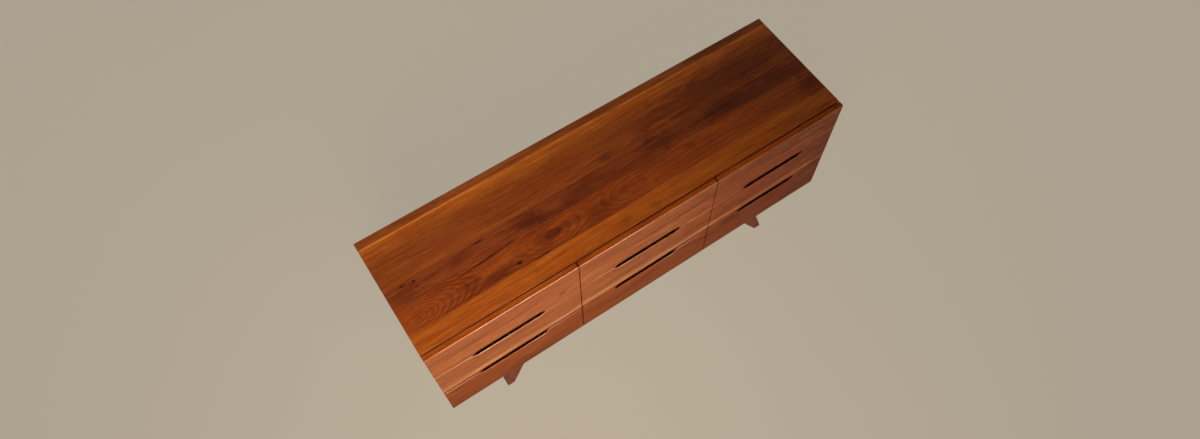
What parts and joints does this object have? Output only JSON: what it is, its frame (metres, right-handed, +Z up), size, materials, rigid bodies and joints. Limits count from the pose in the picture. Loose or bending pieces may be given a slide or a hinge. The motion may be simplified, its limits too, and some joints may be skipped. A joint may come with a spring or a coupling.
{
  "type": "dresser",
  "caption": "Low wide dresser in oiled hardwood: overlay drawer fronts flush with the top, long finger slots between them, drawers on wooden runners, splayed blade legs.",
  "frame": {"origin": "centre of the dresser's footprint, on the floor under the feet", "axes": "+X along the length to the right as seen from the front, -Y out of the drawer fronts, +Z up"},
  "size_m": [1.78, 0.507, 0.77],
  "materials": {
    "top_wood": "oiled reddish-brown hardwood boards, satin",
    "front_wood": "oiled reddish-brown hardwood, satin, grain along the length",
    "case_wood": "oiled reddish-brown hardwood, satin",
    "leg_wood": "oiled dark brown hardwood, satin",
    "box_wood": "pale hardwood, waxed",
    "box_bottom_wood": "pale plywood, bare"
  },
  "bodies": {
    "case": {"top_panel": "top_wood", "left_side_panel": "case_wood", "right_side_panel": "case_wood", "bottom_panel": "case_wood", "left_divider": "case_wood", "right_divider": "case_wood", "back_panel": "case_wood", "left_leg_rail": "leg_wood", "right_leg_rail": "leg_wood", "front_left_leg": "leg_wood", "front_right_leg": "leg_wood", "back_left_leg": "leg_wood", "back_right_leg": "leg_wood"},
    "top_left_drawer": {"top_left_drawer_front": "front_wood", "top_left_drawer_left_side": "box_wood", "top_left_drawer_right_side": "box_wood", "top_left_drawer_back": "box_wood", "top_left_drawer_bottom": "box_bottom_wood"},
    "top_centre_drawer": {"top_centre_drawer_front": "front_wood", "top_centre_drawer_left_side": "box_wood", "top_centre_drawer_right_side": "box_wood", "top_centre_drawer_back": "box_wood", "top_centre_drawer_bottom": "box_bottom_wood"},
    "top_right_drawer": {"top_right_drawer_front": "front_wood", "top_right_drawer_left_side": "box_wood", "top_right_drawer_right_side": "box_wood", "top_right_drawer_back": "box_wood", "top_right_drawer_bottom": "box_bottom_wood"},
    "middle_left_drawer": {"middle_left_drawer_front": "front_wood", "middle_left_drawer_left_side": "box_wood", "middle_left_drawer_right_side": "box_wood", "middle_left_drawer_back": "box_wood", "middle_left_drawer_bottom": "box_bottom_wood"},
    "middle_centre_drawer": {"middle_centre_drawer_front": "front_wood", "middle_centre_drawer_left_side": "box_wood", "middle_centre_drawer_right_side": "box_wood", "middle_centre_drawer_back": "box_wood", "middle_centre_drawer_bottom": "box_bottom_wood"},
    "middle_right_drawer": {"middle_right_drawer_front": "front_wood", "middle_right_drawer_left_side": "box_wood", "middle_right_drawer_right_side": "box_wood", "middle_right_drawer_back": "box_wood", "middle_right_drawer_bottom": "box_bottom_wood"},
    "bottom_left_drawer": {"bottom_left_drawer_front": "front_wood", "bottom_left_drawer_left_side": "box_wood", "bottom_left_drawer_right_side": "box_wood", "bottom_left_drawer_back": "box_wood", "bottom_left_drawer_bottom": "box_bottom_wood"},
    "bottom_centre_drawer": {"bottom_centre_drawer_front": "front_wood", "bottom_centre_drawer_left_side": "box_wood", "bottom_centre_drawer_right_side": "box_wood", "bottom_centre_drawer_back": "box_wood", "bottom_centre_drawer_bottom": "box_bottom_wood"},
    "bottom_right_drawer": {"bottom_right_drawer_front": "front_wood", "bottom_right_drawer_left_side": "box_wood", "bottom_right_drawer_right_side": "box_wood", "bottom_right_drawer_back": "box_wood", "bottom_right_drawer_bottom": "box_bottom_wood"}
  },
  "joints": [
    {"name": "top_left_drawer_slide", "type": "slide", "parent": "case", "child": "top_left_drawer", "axis": [0, -1, 0], "range_m": [0, 0.34]},
    {"name": "top_centre_drawer_slide", "type": "slide", "parent": "case", "child": "top_centre_drawer", "axis": [0, -1, 0], "range_m": [0, 0.34]},
    {"name": "top_right_drawer_slide", "type": "slide", "parent": "case", "child": "top_right_drawer", "axis": [0, -1, 0], "range_m": [0, 0.34]},
    {"name": "middle_left_drawer_slide", "type": "slide", "parent": "case", "child": "middle_left_drawer", "axis": [0, -1, 0], "range_m": [0, 0.34]},
    {"name": "middle_centre_drawer_slide", "type": "slide", "parent": "case", "child": "middle_centre_drawer", "axis": [0, -1, 0], "range_m": [0, 0.34]},
    {"name": "middle_right_drawer_slide", "type": "slide", "parent": "case", "child": "middle_right_drawer", "axis": [0, -1, 0], "range_m": [0, 0.34]},
    {"name": "bottom_left_drawer_slide", "type": "slide", "parent": "case", "child": "bottom_left_drawer", "axis": [0, -1, 0], "range_m": [0, 0.34]},
    {"name": "bottom_centre_drawer_slide", "type": "slide", "parent": "case", "child": "bottom_centre_drawer", "axis": [0, -1, 0], "range_m": [0, 0.34]},
    {"name": "bottom_right_drawer_slide", "type": "slide", "parent": "case", "child": "bottom_right_drawer", "axis": [0, -1, 0], "range_m": [0, 0.34]}
  ]
}
